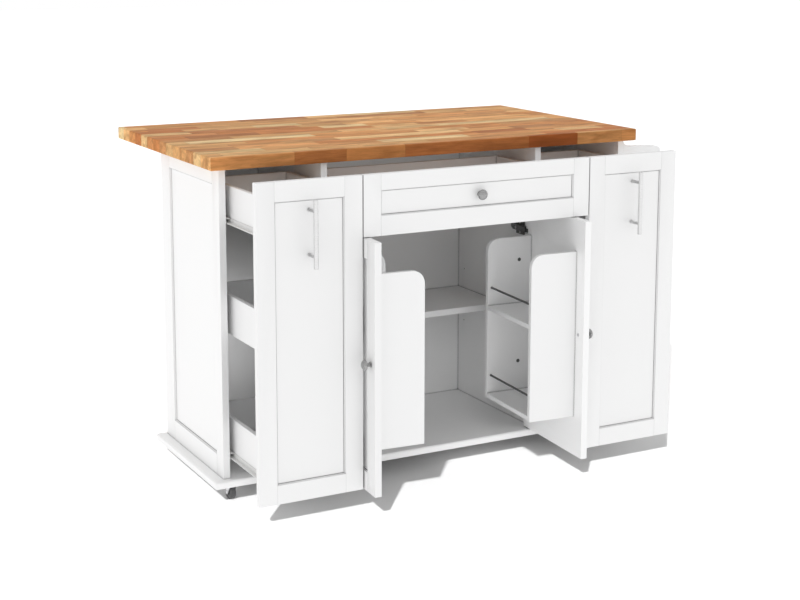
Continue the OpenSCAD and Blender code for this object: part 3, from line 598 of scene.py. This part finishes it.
def leaf_hinge_screws():
    """Two screws in each flap under the worktop and under the leaf."""
    low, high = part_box("leaf_hinge_pins")
    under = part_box("worktop")[0][2] - FLAP
    middle = (low[1] + high[1]) / 2
    centres = (low[0] + LEAF_HINGE_W / 2, (low[0] + high[0]) / 2, high[0] - LEAF_HINGE_W / 2)
    for name, body, way in (("fixed", "cabinet", -1), ("moving", "leaf", 1)):
        mesh = bmesh.new()
        for x in centres:
            for step in (-FLAP_SCREW_SHARE, FLAP_SCREW_SHARE):
                add_screw(mesh, (x + step * LEAF_HINGE_W, middle + way * FLAP_SCREW_OUT, under),
                          (0, 0, -1), 3.0 * MM)
        finish_piece(mesh, "leaf_hinge_" + name + "_screws", body, "zinc_steel")


def caster_screws():
    """Four screws in each caster's plate."""
    low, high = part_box("caster_plates")
    mesh = bmesh.new()
    for x in (low[0] + CASTER_PLATE / 2, high[0] - CASTER_PLATE / 2):
        for y in (low[1] + CASTER_PLATE / 2, high[1] - CASTER_PLATE / 2):
            for right in (-CASTER_SCREW_SHARE, CASTER_SCREW_SHARE):
                for back in (-CASTER_SCREW_SHARE, CASTER_SCREW_SHARE):
                    add_screw(mesh, (x + right * CASTER_PLATE, y + back * CASTER_PLATE, low[2]),
                              (0, 0, -1), 2.6 * MM, 0.9 * MM)
    finish_piece(mesh, "caster_plate_screws", "cabinet", "zinc_steel")


def axle_nuts(corner):
    """A nut on each end of a caster's axle."""
    wheel_low, wheel_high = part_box(corner + "_wheel")
    middle_y = (wheel_low[1] + wheel_high[1]) / 2
    middle_z = (wheel_low[2] + wheel_high[2]) / 2
    middle_x = (wheel_low[0] + wheel_high[0]) / 2
    mesh = bmesh.new()
    for way in (-1, 1):
        leg = middle_x + way * ((wheel_high[0] - wheel_low[0]) / 2 + FORK_LEG)
        add_nut(mesh, (leg, middle_y, middle_z), (way, 0, 0))
    finish_piece(mesh, corner + "_axle_nuts", corner + "_swivel", "caster_steel", 20)


def back_screws():
    """Rows of screws that hold the back panel to the dividers, the rails and the base board."""
    low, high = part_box("back_panel")
    left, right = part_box("left_divider"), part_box("right_divider")
    columns = [(left[0][0] + left[1][0]) / 2, (right[0][0] + right[1][0]) / 2]
    height = high[2] - low[2]
    rows = [low[2] + share * height for share in BACK_ROWS]
    mesh = bmesh.new()
    for x in columns:
        for z in rows:
            add_screw(mesh, (x, high[1], z), (0, 1, 0), 3.2 * MM, 0.8 * MM)
    for share in BACK_COLUMNS:
        for z in (rows[0] - BACK_EDGE * height, rows[-1] + BACK_EDGE * height):
            add_screw(mesh, (low[0] + share * (high[0] - low[0]), high[1], z), (0, 1, 0),
                      3.2 * MM, 0.8 * MM)
    finish_piece(mesh, "back_panel_screws", "cabinet", "zinc_steel")


door_hinge_screws()
hinge_wings_and_shade()
leaf_hinge_screws()
caster_screws()
back_screws()
for side in ("left", "right"):
    door_screws(side)
for corner in ("front_left", "front_right", "rear_left", "rear_right"):
    axle_nuts(corner)


# ---------------------------------------------------------------- floor, light and camera

def build_floor():
    """A pale floor that keeps the island's shadow; returns it."""
    mesh = bmesh.new()
    bmesh.ops.create_grid(mesh, x_segments=1, y_segments=1, size=30)
    data = bpy.data.meshes.new("floor")
    mesh.to_mesh(data)
    mesh.free()
    floor = bpy.data.objects.new("floor", data)
    bpy.context.scene.collection.objects.link(floor)
    made, tree, shader = new_material("pale_floor", 0.9)
    shader.inputs["Base Color"].default_value = (0.72, 0.72, 0.72, 1)
    shader.inputs["Specular IOR Level"].default_value = 0.0
    data.materials.append(made)
    return floor


def build_world(level):
    """White where the camera and reflections look, and a plain soft level on surfaces."""
    world = bpy.data.worlds.new("studio")
    bpy.context.scene.world = world
    world.use_nodes = True
    tree = world.node_tree
    background = tree.nodes["Background"]
    background.inputs["Color"].default_value = (1, 1, 1, 1)
    path = tree.nodes.new("ShaderNodeLightPath")
    seen = calculate(tree, "MAXIMUM", path.outputs["Is Camera Ray"], calculate(
        tree, "MAXIMUM", path.outputs["Is Glossy Ray"], path.outputs["Is Transmission Ray"]))
    tree.links.new(spread(tree, seen, 0.0, 1.0, level, 1.0), background.inputs["Strength"])


def add_sun(name, travel, strength, softness, receivers):
    """A sun whose light travels along the given direction and reaches the receivers only."""
    lamp = bpy.data.lights.new(name, "SUN")
    lamp.energy = strength
    lamp.angle = math.radians(softness)
    holder = bpy.data.objects.new(name, lamp)
    holder.rotation_mode = "QUATERNION"
    holder.rotation_quaternion = Vector(travel).to_track_quat("-Z", "Y")
    bpy.context.scene.collection.objects.link(holder)
    lit = bpy.data.collections.new(name + "_receivers")
    for piece in receivers:
        lit.objects.link(piece)
    holder.light_linking.receiver_collection = lit


def add_tower_lamp():
    """A soft lamp behind the left tower's trays, which lights the gaps between them."""
    low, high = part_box("left_pullout_trays")
    panel_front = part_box("back_panel")[0][1]
    lamp = bpy.data.lights.new("left_tower_fill", "AREA")
    lamp.shape = "RECTANGLE"
    lamp.size = 0.9 * (high[0] - low[0])
    lamp.size_y = 0.45 * (high[2] - low[2])
    lamp.spread = math.radians(90)
    lamp.energy = 0.085
    holder = bpy.data.objects.new("left_tower_fill", lamp)
    holder.location = ((low[0] + high[0]) / 2, high[1] + 0.1 * (panel_front - high[1]),
                       low[2] + 0.3 * (high[2] - low[2]))
    holder.rotation_euler = (math.radians(90), 0.0, 0.0)
    bpy.context.scene.collection.objects.link(holder)


def add_camera(place, yaw, pitch, lens, shift):
    """A camera that looks along +Y, turned towards +X by yaw and down by pitch, in degrees."""
    lens_data = bpy.data.cameras.new("camera")
    lens_data.lens = lens
    lens_data.sensor_width = 36.0
    lens_data.shift_x, lens_data.shift_y = shift
    lens_data.clip_start = 0.05
    lens_data.clip_end = 200.0
    holder = bpy.data.objects.new("camera", lens_data)
    holder.location = place
    holder.rotation_euler = (math.radians(90 - pitch), 0.0, math.radians(-yaw))
    bpy.context.scene.collection.objects.link(holder)
    bpy.context.scene.camera = holder


def pieces_named(*names):
    return [bpy.data.objects[name] for name in names]


floor = build_floor()
build_world(0.785)
add_sun("floor_sun", (0.91, 1.14, -1.0), 5.1, 2.0, [floor])
add_sun("bay_fill", (0.45, 1.0, -0.62), 0.40, 30.0, pieces_named(
    "left_divider_eased", "right_divider_eased", "shelf_eased", "back_panel", "base_board"))
add_tower_lamp()
add_sun("side_fill", (1.0, 0.15, -0.1), 0.2, 30.0, pieces_named("left_side_panel_eased"))
add_sun("door_fill", (0.8, 0.8, -0.2), 0.3, 40.0, pieces_named("right_door_eased"))
add_camera((-2.0831, -3.7857, 1.4607), 27.744, 9.105, 68.514, (0.01535, -0.14))

bpy.context.scene.view_settings.view_transform = "Standard"
